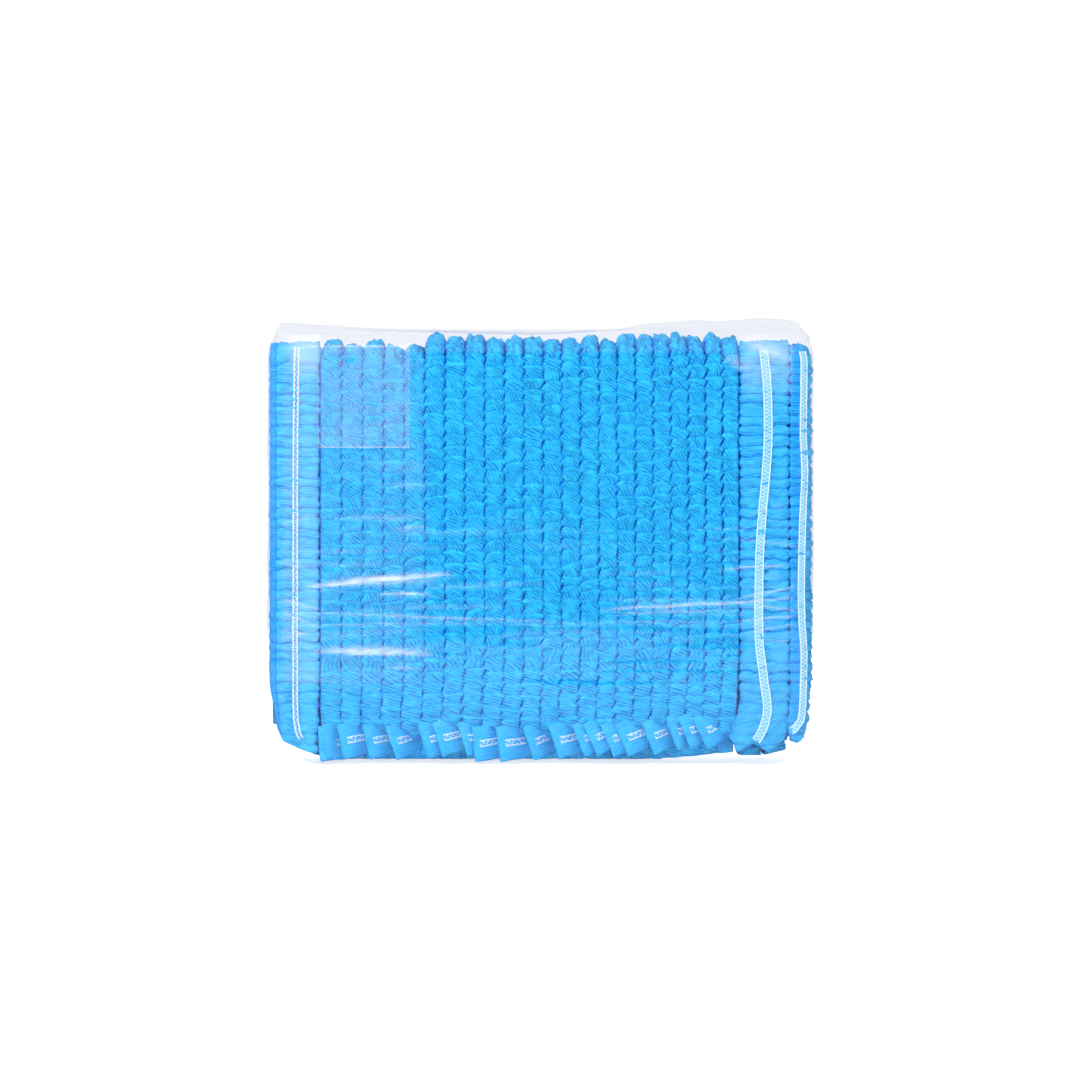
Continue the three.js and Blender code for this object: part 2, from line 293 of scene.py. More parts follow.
filmLook = {
    "tint": (0.95, 0.957, 0.99, 1),
    "gloss": (1, 1, 1, 1),
    "roughness": 0.07,
    "milkAndPaintedSheen": (0.97, 0.98, 1, 1),
    "milkAndSheenRoughness": 0.25,
    "mirror": 0.05,
    "mirrorGrazing": 0.4,
    "grazingPower": 5,
}

doubledFilmLook = {**filmLook, "tint": (1, 1, 1, 1), "mirror": 0.01, "mirrorGrazing": 0.1}


def dressedMaterial(name, look, grain, values):
    material, tree = newMaterial(name)
    cloth = newNode(tree, "UVMap")
    cloth.uv_map = "cloth"
    use = newNode(tree, "Group")
    use.node_tree = grain
    setInputs(tree, use, {**values, "Cloth": cloth.outputs["UV"]})
    paintedLightShade = newNode(tree, "Attribute")  # painted light and shade: paler lips, darker gaps, crevices and puckers
    paintedLightShade.attribute_name = "paintedLightShade"
    share = mathNode(tree, "ADD", use.outputs["Shade"], paintedLightShade.outputs["Fac"], limit=True)
    colour = newNode(tree, "Mix")
    colour.data_type = "RGBA"
    setInputs(tree, colour, {0: share, 6: look["dark"], 7: look["light"]})
    bump = newNode(tree, "Bump", {"Strength": look["bumpStrength"], "Distance": look["bumpDistance"]})
    setInputs(tree, bump, {"Height": use.outputs["Height"]})
    shader = tree.nodes["Principled BSDF"]
    setInputs(tree, shader, {"Base Color": colour.outputs[2], "Normal": bump.outputs["Normal"]})
    setInputs(tree, shader, {"Roughness": look["roughness"], "Specular IOR Level": look["specular"]})
    return material


def filmMaterial(name, look):
    material, tree = newMaterial(name)
    tree.nodes.remove(tree.nodes["Principled BSDF"])
    clear = newNode(tree, "BsdfTransparent", {"Color": look["tint"]})
    gloss = {"Base Color": look["gloss"], "Metallic": 1, "Roughness": look["roughness"]}
    shine = newNode(tree, "BsdfPrincipled", gloss)
    facing = newNode(tree, "LayerWeight", {"Blend": 0.5})  # its Facing is the same from inside the bag
    grazing = mathNode(tree, "POWER", facing.outputs["Facing"], look["grazingPower"])
    amount = mathNode(tree, "MULTIPLY_ADD", grazing, look["mirrorGrazing"], look["mirror"], limit=True)
    plain = newNode(tree, "MixShader", {0: amount, 1: clear.outputs[0], 2: shine.outputs[0]})
    # a white overlay mixed in by a vertex attribute: partly whitening of the film at its left end, near the
    # mouth and on the doubled patch, and partly highlights painted along its creases and the patch's fold
    milkAndPaintedSheen = newNode(tree, "BsdfPrincipled", {"Base Color": look["milkAndPaintedSheen"], "Roughness": look["milkAndSheenRoughness"]})
    hazeAndPaintedSheen = newNode(tree, "Attribute")
    hazeAndPaintedSheen.attribute_name = "hazeAndPaintedSheen"
    whole = newNode(tree, "MixShader", {0: hazeAndPaintedSheen.outputs["Fac"], 1: plain.outputs[0], 2: milkAndPaintedSheen.outputs[0]})
    setInputs(tree, tree.nodes["Material Output"], {"Surface": whole.outputs[0]})
    return material


grain = nonwovenGrain()
nonwoven = dressedMaterial("nonwoven", clothLook, grain, {})
faceCloth = dressedMaterial("faceCloth", faceClothLook, grain, {"Crease Scale": 0.6, "Pleat Height": 0.7})
endCloth = dressedMaterial("endCloth", endClothLook, grain, {"Crease Height": 1.1, "Pleat Height": 0.5})
elastic = dressedMaterial(
    "elastic",
    elasticLook,
    grain,
    {"Crease Scale": 3.0, "Pleat Height": 0.0, "Bond Height": 0.0, "Fibre Scale": 6.0, "Fibre Height": 0.6},
)
tapeValues = {"Crease Scale": 2.0, "Pleat Height": 0.2, "Bond Height": 0.0}
tapeCloth = dressedMaterial("tapeCloth", tapeLook, grain, tapeValues)
film = filmMaterial("clearFilm", filmLook)
doubledFilm = filmMaterial("doubledFilm", doubledFilmLook)
print("materials made")


# the strips that stand on edge

rowOfStrips = {
    "count": 22,
    "left": -109.2,
    "right": 98.6,
    "leftPitchShare": 1.12,  # the strips get thinner towards the right
    "inset": 0.04,  # half the gap between neighbours
    "front": -24.0,
    "seam": -0.6,  # where the front row ends, just short of the back row
    "foot": 2.2,
    "gather": 5.8,  # from one gather to the next, along a strip
    "lip": 1.75,
    "crumple": 0.28,
    "hatch": 0.23,
    "hatchPitch": 1.4,
    "hatchAngle": 38,
    "hatchSpread": 20,
    "lowHatchAngle": 14,  # the creases lie flatter near the foot
    "lowHatch": (64, 30),  # where that starts, and over what length it grows
    "crevice": 1.25,
    "notch": 3.1,  # extra depth of the crevices between the rounded tops
    "sawTooth": 1.05,
    "lean": 2.4,  # how far the strips lean left at the bottom
    "leaning": (62, 60),  # where they start to lean, and over what length
    "topping": (197, 12),  # where a rounded top starts, and over what length
    "shoulder": 200,
    "tops": 213.6,
}


def stripEdge(index):
    row = rowOfStrips
    mean = (row["right"] - row["left"]) / row["count"]
    first = mean * row["leftPitchShare"]
    change = 2 * (mean - first) / (row["count"] - 1)
    return row["left"] + first * index + change * index * (index - 1) / 2


def gatherPhase(index, s, w):
    shift = 1.3 * wobble(index * 0.33, 5.2) + 1.5 * scatter(index, 4)
    phase = (w - shift) / rowOfStrips["gather"] + 0.36 * wobble(index * 3.1 + s * 0.9, w / 8)
    arch = 1 - (2 * s - 1) ** 2
    slant = 0.3 * (s - 0.5) * wobble(w / 4.5, index * 2.2)
    return phase - 0.12 * arch * (1 + wobble(w / 5, index * 1.9)) + slant


def gatherAt(index, s, w):
    # the number of the gather at this place, and the share of the way along it
    phase = gatherPhase(index, s, w)
    return floor(phase), phase - floor(phase)


def lowShare(limits, w):  # 0 above the start, growing to 1 over the length below it
    start, length = limits
    return ease((start - w) / length)


def topShare(w):
    start, length = rowOfStrips["topping"]
    return ease((w - start) / length)


def hatchTurn(index, k, w):  # the angle of a gather's diagonal creases
    row = rowOfStrips
    angle = row["hatchAngle"] + row["hatchSpread"] * scatter(index + 50, k)
    return radians(mix(angle, row["lowHatchAngle"], lowShare(row["lowHatch"], w)))


def edgeAt(index, w):
    row = rowOfStrips
    x = stripEdge(index)
    if index == 0:
        return x
    x -= row["lean"] * lowShare(row["leaning"], w) * min(1, index / 4)
    if index == row["count"]:
        return x
    k, f = gatherAt(index - 1, 1, w)
    tooth = 2 * f / 0.8 - 1 if f < 0.8 else 1 - 2 * (f - 0.8) / 0.2
    x += row["sawTooth"] * tooth * (0.6 + 0.6 * scatter(index, k))
    return x + 0.4 * wobble(w / 11, index * 5.7) + 0.35 * wobble(w / 2.6, index * 3.3)


def creviceAt(index, w):
    # the crevice between two strips is deepest beside the middle of each gather
    if index == 0:
        return 1.2
    k, f = gatherAt(index - 1, 1, w)
    deep = 0.06 + 1.2 * sin(pi * clamp(f / 0.88)) ** 1.6
    deep *= 1 + 0.9 * ease((index - 18.5) / 2) * ease((w - 60) / 60)  # scalloped at the right
    if index == rowOfStrips["count"]:
        deep += 1.2
    return deep * (0.85 + 0.6 * wobble(w / 9, index * 4.1) + 0.35 * scatter(index + 20, k))


def footAt(x):  # the last few strips end higher
    return rowOfStrips["foot"] + max(0, x - 60) * 0.1 + 0.5 * wobble(x / 5, 2.2)


def topOf(index):
    lower = 3.2 if index < 5 else 0
    return rowOfStrips["tops"] - 0.9 * (1 + sin(index * 2.4)) + 1.3 * scatter(index, 8.8) - lower


def stripPath(index, density):
    # y, z and length along the strip, from its foot over its rounded top
    row = rowOfStrips
    front, shoulder = row["front"], row["shoulder"]
    runs = [
        (-14.6, row["foot"], 5),
        (-14.6, 12, 10),
        (-21.6, 19, 14),
        (front, 27, 400),
        (front, shoulder, 0),
    ]
    path = []
    for (y0, z0, pieces), (y1, z1, _) in zip(runs, runs[1:]):
        steps = max(3, round(pieces * density))
        path += [(mix(y0, y1, k / steps), mix(z0, z1, k / steps)) for k in range(steps)]
    arc = max(14, round(44 * density))
    rise = topOf(index) - shoulder
    for k in range(arc + 1):
        angle = radians(108) * k / arc
        path.append((-7 + (front + 7) * cos(angle), shoulder + rise * sin(angle)))
    lengths = [path[0][1]]
    for first, second in zip(path, path[1:]):
        step = hypot(second[0] - first[0], second[1] - first[1])
        lengths.append(lengths[-1] + (second[1] - first[1] if second[1] <= 27 else step))
    return [(y, z, w) for (y, z), w in zip(path, lengths)]


def gatherRelief(index, s, x, w, fine, deepLeft, deepRight):
    # how far the cloth stands out of the strip's front at share s of its width, w along it
    row = rowOfStrips
    k, f = gatherAt(index, s, w)
    one, two, three = scatter(index, k), scatter(index + 50, k), scatter(index + 90, k)
    lip = (0.4 + 0.6 * ease(f / 0.86)) * (1 - ease((f - 0.91) / 0.09)) - 0.32 * bell((f - 0.04) / 0.06)
    out = row["lip"] * (0.66 + 0.42 * one) * lip * (1 - 0.35 * ease(s - 0.2 + 0.5 * three))
    out -= 0.25 * (s - 0.4) * (1 + 1.3 * three)
    ridge = (s - 0.5) * (0.5 + 0.4 * two) + (f - 0.5) * 0.8 - 0.12 * three
    out += 0.3 * (abs(ridge) - 0.2) * (three > -0.4)
    out += row["crumple"] * wobble(x / 3.4, w / 3.0, index)
    if fine:
        out += 0.12 * wobble(x / 1.2, w / 1.2, 7)
        tilt = hatchTurn(index, k, w)
        spread = 0.2 + 0.8 * ease((0.9 * s + 0.7 * (1 - f) - 0.45) / 0.6)
        turn = (x * sin(tilt) + w * cos(tilt)) / row["hatchPitch"] + 0.3 * wobble(x / 4, w / 3, 3)
        spread *= 0.55 + 0.9 * wobble(x / 2.6, w / 2.2, 4)
        out += row["hatch"] * spread * sin(2 * pi * turn + 4 * one)
    side = abs(2 * s - 1)
    top = topShare(w)
    deep = row["crevice"] * max(0.1, mix(deepRight if s > 0.5 else deepLeft, 1.4, top))
    out -= 0.12 * side * side + deep * side ** 11
    out -= top * row["notch"] * side ** 3.6
    crumple = 1.7 * wobble(x / 3.8, w / 4.2, 11) + 0.8 * wobble(x / 1.7, w / 2.0, 5)
    fold = s - 0.5 - 0.28 * scatter(index, 2.5) - (w - 208) * 0.035 * scatter(index, 6.5)
    return out + top * (2.6 * (s - 0.5) * scatter(index, 1.5) + crumple - 1.5 * bell(fold / 0.09))


def gatherPaintedLightShade(index, s, w, deepLeft, deepRight):
    # painted light and shade: a highlight painted along a gather's lip, shade painted just above it, in the
    # crevices and at the sides of the rounded tops
    k, f = gatherAt(index, s, w)
    paintedLightShade = 0.42 * (0.7 + 0.6 * scatter(index, k)) * bell((f - 0.88) / 0.06)
    paintedLightShade -= 0.42 * (0.6 + 0.6 * scatter(index + 50, k)) * bell(min(f, 1 - f) / 0.055)
    side = abs(2 * s - 1)
    paintedLightShade -= 0.8 * clamp(deepRight if s > 0.5 else deepLeft) * side ** 12
    return paintedLightShade - 0.25 * topShare(w) * side ** 5


def addStrip(bm, index, columns, density, fine):
    row = rowOfStrips
    path = stripPath(index, density)
    last = len(path) - 1
    edges = [(edgeAt(index, w) + row["inset"], edgeAt(index + 1, w) - row["inset"]) for _, _, w in path]
    deeps = [(creviceAt(index, w), creviceAt(index + 1, w)) for _, _, w in path]
    outward = []
    for k in range(last + 1):
        before, after = path[max(k - 1, 0)], path[min(k + 1, last)]
        dy, dz = after[0] - before[0], after[1] - before[1]
        size = hypot(dy, dz) or 1
        outward.append((-dz / size, dy / size))

    def place(u, v):
        k = round(v * last)
        y, z, w = path[k]
        x = mix(*edges[k], u)
        out = gatherRelief(index, u, x, w, fine, *deeps[k])
        fade = ease((w - 1) / 18)
        ny, nz = outward[k]
        return (x, y + ny * out * fade, max(z + nz * out * fade, footAt(x)))

    left, right = stripEdge(index) + row["inset"], stripEdge(index + 1) - row["inset"]

    def toBack(point, u, v):
        z = point.z
        if z < 8:
            z = footAt(point.x)
        elif z < 196:
            z = max(12, 12 * round(z / 12))
        else:
            z = min(3 * round(z / 3), 207)
        lean = row["lean"] * lowShare(row["leaning"], z)
        return (mix(left - lean * min(1, index / 4), right - lean, round(u * 4) / 4), row["seam"], z)

    def clothSpot(u, v, middleU, middleV):
        w = path[min(last, round(v * last))][2]
        middle = path[min(last, int(middleV * last))][2]
        k, _ = gatherAt(index, middleU, middle)
        turn = hatchTurn(index, k, middle)
        x = u * (right - left)
        return (
            x * cos(turn) - w * sin(turn) + 37 * scatter(index, k),
            x * sin(turn) + w * cos(turn) + 23 * scatter(k, index),
        )

    def paintedLightShadeAt(u, v):
        k = round(v * last)
        return gatherPaintedLightShade(index, u, path[k][2], *deeps[k])

    spots, _ = addGrid(bm, columns, last, place, clothSpot, paintedLightShadeAt)
    closeBehind(bm, spots, toBack)


# the loose ends, which turn to the left at the base and lap like shingles

looseEnds = {
    "height": 17.4,
    "frontY": -25.3,
    "rootY": -14.4,
    "rootShift": 2.5,
    "thickness": 0.4,
    "ply": 0.8,
    "pucker": 0.16,
    "lowest": 1.2,
}

# where each end's cut edge is: x and z of the middle of the cut, how far the end tilts in degrees,
# and the least length that shows
cutEnds = [
    (-107.0, 11.6, 2, 13),
    (-109.6, 10.4, 5, 9),
    (-98.8, 11.2, 12, 9),
    (-86.0, 11.3, 12, 9),
    (-74.0, 10.6, 19, 9),
    (-57.6, 12.4, 17, 9),
    (-57.8, 11.6, 17, 9),
    (-51.0, 12.2, 17, 9),
    (-38.8, 12.6, 17, 9),
    (-33.2, 10.2, 6, 9),
    (-20.6, 10.2, 8, 9),
    (-5.6, 10.6, 19, 9),
    (7.0, 11.2, 22, 9),
    (6.6, 11.0, 17, 9),
    (18.8, 11.8, 22, 9),
    (24.6, 12.0, 25, 9),
    (33.0, 11.4, 23, 9),
    (40.4, 12.0, 23, 9),
    (53.4, 13.0, 21, 9),
    (65.2, 15.2, 20, 9),
    (71.2, 15.6, 22, 9),
    (79.4, 15.6, 25, 9),
]


def endReach(index):
    # how long a loose end is, from its cut edge to its root
    cutX, _, _, least = cutEnds[index]
    middle = (stripEdge(index) + stripEdge(index + 1)) / 2
    rootX = middle + looseEnds["rootShift"] - rowOfStrips["lean"] * 0.7 * min(1, index / 4)
    return max(least, rootX - cutX)


def endSpot(index, along, up, ply=0):
    # a point of a loose end: along in mm from its cut edge, up in mm from its middle line
    ends, reach = looseEnds, endReach(index)
    cutX, cutZ, degrees, _ = cutEnds[index]
    t = clamp(along / reach)
    tilt = radians(degrees)
    x = cutX + along - up * sin(tilt) * (0.35 + 0.65 * (1 - t))
    z = cutZ + tan(tilt) * (along - 0.22 * along * along / reach) + up * cos(tilt)
    settle = ease(t) * 0.65 + 0.35 * t
    y = mix(ends["frontY"], ends["rootY"], settle) + 0.5 * (1 - ease(along / 2.2)) + ply * ends["ply"]
    y += 0.9 * abs(2 * up / ends["height"]) ** 6
    near = 1 - ease(abs(up) / 5)
    pucker = sin(along * 2 * pi / 1.9 + 3 * wobble(up / 3, index)) * ease(along / 2)
    y += ends["pucker"] * (0.4 + near) * pucker
    y += 0.35 * wobble(along / 6 + index * 9, up / 5) + 0.05 * wobble(along / 3, up / 0.9, index)
    z += 0.5 * wobble(along / 7, index * 3.7)
    return Vector((x, y, max(ends["lowest"] + 0.15 * ply, z)))


def addLooseEnd(bm, index, columns, rows, plies):
    ends, reach = looseEnds, endReach(index)
    stripFaces = set(bm.faces)
    for ply in range(plies):
        coarser = 3 if ply else 1  # the plies behind the first hardly show
        shift = 0.7 * scatter(index, ply) * (ply > 0)

        def place(u, v):
            up = (v - 0.5) * ends["height"] * (1 - 0.02 * ply)
            ragged = 0.35 * wobble(up / 1.3, index * 2.1 + ply) * (1 - u) ** 4
            return endSpot(index, u * reach + shift * (1 - u) + ragged, up, ply)

        def clothSpot(u, v, middleU, middleV):
            return (u * reach + 61 * index + 11 * ply, v * ends["height"])

        across, upward = max(4, columns // coarser), max(4, rows // coarser)
        _, faces = addGrid(bm, across, upward, place, clothSpot)
        bmesh.ops.recalc_face_normals(bm, faces=faces)
        if faces[0].normal.y < 0:
            bmesh.ops.reverse_faces(bm, faces=faces)
        bmesh.ops.solidify(bm, geom=faces, thickness=ends["thickness"])
    for face in set(bm.faces) - stripFaces:
        face.material_index = 1


# how finely each row is made: a strip's columns, its share of the full number of rows and whether it has
# the finest relief, and then a loose end's columns, rows and plies
rowDetail = {
    "front": ((18, 0.93, True), (22, 20, 3)),
    "back": ((8, 0.28, False), (9, 7, 2)),
}

for side, (stripDetail, endDetail) in rowDetail.items():
    for index in range(rowOfStrips["count"]):
        bm = bmesh.new()
        addStrip(bm, index, *stripDetail)
        addLooseEnd(bm, index, *endDetail)
        if side == "back":
            toOtherSide(bm)
        name = f"hairnet_{side}_{index + 1:02d}"
        finishPiece("strip_" + name, bm, [nonwoven, endCloth], [name])
    print(side, "row of strips made")


# the strips that lie face out

faceStrips = {
    "rib": 5.1,  # from one gathered rib to the next
    "ribDepth": 2.0,
    "ruffle": 1.1,
    "crumple": 0.6,
    "wrinkle": 0.1,
    "pucker": 0.42,  # beside the elastic
    "shoulder": 201,
    "arcShare": 0.06,  # the share of a strip's rows that goes over its top
    "parting": 0.2,  # where a line parts the left strip's smooth outer part
}

# Each is given by its section seen from above (share across, x, y), its lower edge (share across, x, z),
# the height above which it is straight, its top, and the plane that its back lies in.
faceShapes = {
    "left": {
        "section": [
            (0.0, -134.8, -15.8), (0.06, -134.8, -18.6), (0.13, -133.8, -21.4), (0.2, -131.4, -23.3),
            (0.3, -128.4, -24.2), (0.9, -111.6, -24.3), (0.96, -110.3, -23.6), (1.0, -109.8, -21.6),
        ],
        "foot": [
            (0.0, -132.4, 24), (0.14, -130.2, 15.5), (0.3, -127.0, 11.5),
            (0.62, -119.0, 7.8), (1.0, -110.6, 5.0),
        ],
        "straightAbove": 42,
        "top": 209.6,
        "back": ((-133.6, -15.2), (-110.0, -15.2)),
        "columns": 60,
    },
    "right": {
        "section": [
            (0.0, 98.9, -21.2), (0.04, 99.4, -23.4), (0.1, 100.8, -24.3),
            (0.9, 121.6, -24.3), (0.96, 122.8, -23.6), (1.0, 123.2, -21.8),
        ],
        "foot": [
            (0.0, 93.9, 12.6), (0.13, 97.0, 6.4), (0.44, 105.8, 10.6),
            (0.67, 112.6, 6.2), (1.0, 122.2, 13.6),
        ],
        "straightAbove": 33,
        "top": 210.2,
        "back": ((99.2, -15.4), (123.0, -15.4)),
        "columns": 60,
    },
    "corner": {
        "section": [
            (0.0, 123.4, -19.5), (0.06, 123.8, -22.8), (0.14, 125.2, -24.1), (0.26, 127.8, -24.1),
            (0.38, 130.6, -23.2), (0.5, 133.2, -21.0), (0.6, 134.6, -17.6), (0.7, 134.9, -12.6),
            (1.0, 134.9, -0.6),
        ],
        "foot": [
            (0.0, 121.8, 16.4), (0.12, 124.0, 12.4), (0.3, 127.8, 10.8),
            (0.5, 131.6, 15.0), (0.75, 133.4, 22), (1.0, 133.6, 24),
        ],
        "straightAbove": 44,
        "top": 209.0,
        "back": ((124.0, -13.5), (127.5, -0.6)),
        "columns": 64,
    },
}


def ribPhase(seed, across, z):
    bend = 1.7 * wobble(across / 8, z / 8, seed) + 0.5 * wobble(across / 2.4, z / 6, seed + 3)
    return (z + bend) / faceStrips["rib"]


def besideElastic(u):
    return bell((u - 0.5) / 0.16)


def facePaintedLightShade(seed, u, across, z):
    # painted shade between the ribs, in the puckers beside the elastic and at the strip's edges
    phase = ribPhase(seed, across, z)
    gap = bell(sin(pi * phase) / 0.3)
    paintedLightShade = 0.1 - 0.8 * gap * (0.6 + 0.5 * scatter(round(phase), seed + 4))
    paintedLightShade -= 0.55 * besideElastic(u) * max(0, wobble(across / 1.3, z / 0.9, seed) - 0.1)
    paintedLightShade -= 0.45 * abs(2 * u - 1) ** 9
    # the left strip is paler towards its right side and darker on its outer part, with painted shade in the
    # groove of its parting line; the corner strip is darker in a band from 0.1 to 0.26 across
    if seed == 0:
        paintedLightShade += 0.2 * ease((u - 0.55) / 0.15) - 0.45 * (1 - ease((u - 0.16) / 0.06))
        paintedLightShade -= 0.8 * bell((u - faceStrips["parting"]) / 0.016)
    if seed == 2:
        paintedLightShade -= 0.4 * ease((u - 0.1) / 0.05) * (1 - ease((u - 0.26) / 0.05))
    return paintedLightShade


def faceRelief(seed, u, across, z, fine):
    # ribs that run across the strip, ruffled towards its edges
    strips = faceStrips
    phase = ribPhase(seed, across, z)
    lift = abs(sin(pi * phase)) ** 0.42
    edge = abs(2 * u - 1)
    near = besideElastic(u)
    out = strips["ribDepth"] * (0.7 + 0.45 * scatter(floor(phase), seed)) * (lift - 0.5)
    out += strips["ruffle"] * edge ** 3 * wobble(u * 3 + seed, z / 2.6)
    out += strips["crumple"] * wobble(across / 5, z / 2.2, seed + 9)
    out += strips["pucker"] * near * sin(2 * pi * (z + 1.2 * wobble(u * 9, z / 3, seed)) / 1.9)
    if fine:
        wrinkle = sin(2 * pi * (z + 0.8 * wobble(across / 5, z / 4, 2)) / 1.3)
        out += strips["wrinkle"] * wrinkle * (0.4 + 0.6 * edge)
        out += (0.1 + 0.35 * near) * wobble(across / 1.8, z / 1.0, seed)
    if seed == 0 and u < 0.3:  # the left strip's outer part is smooth, and parted by a line
        out *= 0.3 + 0.7 * ease((u - 0.16) / 0.08)
        out -= 1.3 * bell((u - strips["parting"]) / 0.016)
    return out


def sectionOf(shape, u):
    x, y = onLine(shape["section"], u)
    left, right = onLine(shape["section"], max(u - 0.02, 0)), onLine(shape["section"], min(u + 0.02, 1))
    dx, dy = right[0] - left[0], right[1] - left[1]
    size = hypot(dx, dy) or 1
    return x, y, dy / size, -dx / size


def addFaceStrip(bm, name, seed, columns, rows, fine):
    shape = faceShapes[name]
    straight, top = shape["straightAbove"], shape["top"]
    shoulder, arcShare = faceStrips["shoulder"], faceStrips["arcShare"]
    # the strip's width, and a little for its bend
    widest = shape["section"][-1][1] - shape["section"][0][1] + 1
    backLine = [(0, *shape["back"][0]), (1, *shape["back"][1])]

    def heightAt(u, v):  # runs on over the top
        return mix(onLine(shape["foot"], u)[1], shoulder, v / (1 - arcShare))

    def place(u, v):
        x, y, nx, ny = sectionOf(shape, u)
        footX, footZ = onLine(shape["foot"], u)
        topHere = top + 1.3 * wobble(u * 4 + seed, 3.3) + 0.8 * wobble(u * 13, seed + 1.7)
        z, pull = heightAt(u, v), 0
        if v > 1 - arcShare:
            angle = radians(100) * (v - 1 + arcShare) / arcShare
            z = shoulder + (topHere - shoulder) * sin(angle)
            pull = 1 - cos(angle)
        low = ease((straight - z) / max(straight - footZ, 1))
        x += (footX - x) * low * (0.9 if name == "corner" else 1)
        out = faceRelief(seed, u, u * widest, heightAt(u, v), fine)
        out -= 0.8 * (1 - ease((z - footZ) / 1.5))  # tucked in at the foot
        inX, inY = onLine(backLine, u)
        x = mix(x, inX, pull * 0.5)
        y = mix(y, inY, pull * 0.55)
        up = sin(min(1, pull) * pi / 2)
        return (x + nx * out * (1 - up), y + ny * out * (1 - up), z + out * up * 0.6)

    def toBack(point, u, v):
        x, y = onLine(backLine, round(u * 6) / 6)
        z = point.z
        if 0.001 < v < 1 - arcShare:
            z = 12 * round(z / 12) if z > 40 else 4 * round(z / 4)
        return (x, y, min(z, 206.5))

    def clothSpot(u, v, middleU, middleV):
        return (u * widest + 97 * seed, v * 215)

    def paintedLightShadeAt(u, v):
        return facePaintedLightShade(seed, u, u * widest, heightAt(u, v))

    spots, _ = addGrid(bm, columns, rows, place, clothSpot, paintedLightShadeAt)
    closeBehind(bm, spots, toBack)


# how finely the strips of each side are made: columns, rows, and what is added to their seeds
faceDetail = {"front": (None, 370, 0), "back": (24, 120, 5)}

for side, (columns, rows, otherSeed) in faceDetail.items():
    for seed, name in enumerate(faceShapes):
        bm = bmesh.new()
        fine = side == "front"
        addFaceStrip(bm, name, seed + otherSeed, columns or faceShapes[name]["columns"], rows, fine)
        if side == "back":
            toOtherSide(bm)
        node = f"hairnet_{name}_{side}"
        finishPiece("strip_" + node, bm, faceCloth, [node])
    print(side, "face-out strips made")


# the strips inside the two ends

innerStrips = {
    "halfDepth": 14.6,
    "top": 207.5,
    "around": 40,
    "rows": 260,
    "girth": 70,
    # left and right side, and the height of the foot at each
    "strips": {
        "hairnet_inner_left_1": (-133.6, -122.3, 34, 12.5),
        "hairnet_inner_left_2": (-122.1, -110.4, 12, 7.5),
        "hairnet_inner_right_1": (99.0, 111.0, 4, 4),
        "hairnet_inner_right_2": (111.2, 123.2, 4, 7),
    },
}


def addInnerStrip(bm, seed, left, right, leftFoot, rightFoot):
    inner = innerStrips
    halfWidth, middle = (right - left) / 2, (left + right) / 2

    def place(u, v):
        turn = 2 * pi * u
        cx, cy = cos(turn), sin(turn)
        sx = (1 if cx > 0 else -1) * abs(cx) ** 0.4
        sy = (1 if cy > 0 else -1) * abs(cy) ** 0.4
        foot = mix(leftFoot, rightFoot, (sx + 1) / 2)
        z = mix(foot, inner["top"], v)
        out = faceRelief(seed, 0.5, u * inner["girth"], z, False)
        shrink = 1 - 0.75 * ease((v - 0.93) / 0.07) ** 2
        return (
            middle + sx * (halfWidth - 0.6 + 0.5 * out) * shrink,
            sy * (inner["halfDepth"] - 1 + out) * shrink,
            z,
        )

    def clothSpot(u, v, middleU, middleV):
        return (u * inner["girth"] + 41 * seed, v * 205)

    spots, _ = addGrid(bm, inner["around"], inner["rows"], place, clothSpot)
    closeRound(bm, spots, 0.001)


for seed, (name, sizes) in enumerate(innerStrips["strips"].items()):
    bm = bmesh.new()
    addInnerStrip(bm, seed + 20, *sizes)
    finishPiece("strip_" + name, bm, nonwoven, [name])
print("inner strips made")


# the elastic that shows on the face-out strips: a thin tape, a thread down each side, a zigzag between

elastics = {
    "step": 0.31,  # along an elastic
    "tapeThick": 0.3,
    "threadRadius": 0.36,
    "beadPitch": 1.25,
    "zigzagRadius": 0.17,
    "lift": 1.05,  # how far it lies outside the strip's middle surface
    "widths": {"left": 2.1, "right": 3.7, "corner": 3.0},  # between the side threads
    "zigzagPitch": {"left": 1.3, "right": 0.95, "corner": 0.95},
}

# x and z along the middle line, from the bottom up
bandRoutes = {
    "left": [(-118.6, 13.2), (-120.3, 18), (-121.4, 34), (-121.4, 110), (-121.3, 160), (-120.7, 207.0)],
    "right": [
        (106.6, 12.0), (109.4, 16.4), (111.7, 23.3), (112.2, 30.7), (110.2, 45.1), (108.2, 63.9),
        (108.2, 92.6), (109.2, 116.4), (111.7, 145.2), (112.7, 164), (112.2, 187.8), (110.4, 206.0),
    ],
    "corner": [
        (124.0, 16.6), (127.0, 19.6), (129.6, 26.3), (130.5, 54.5), (129.4, 73.8), (129.2, 92.6),
        (129.9, 121.4), (131.0, 145), (130.2, 164), (130.6, 197.2), (129.8, 205.0),
    ],
}


def curveValue(p, q, r, s, t):
    # a Catmull-Rom curve through q and r, at share t between them
    bent = (2 * p - 5 * q + 4 * r - s) * t * t + (3 * q - p - 3 * r + s) * t ** 3
    return 0.5 * (2 * q + (r - p) * t + bent)


def smoothRoute(points, spacing):
    # a smooth line through the points, in even steps, and its length
    fine = []
    padded = [points[0], *points, points[-1]]
    for near in zip(padded, padded[1:], padded[2:], padded[3:]):
        for k in range(20):
            fine.append(tuple(curveValue(*axis, k / 20) for axis in zip(*near)))
    fine.append(points[-1])
    total = [0.0]
    for first, second in zip(fine, fine[1:]):
        total.append(total[-1] + hypot(second[0] - first[0], second[1] - first[1]))
    line = [(length / total[-1], *point) for length, point in zip(total, fine)]
    count = round(total[-1] / spacing)
    return [onLine(line, k / count) for k in range(count + 1)], total[-1]


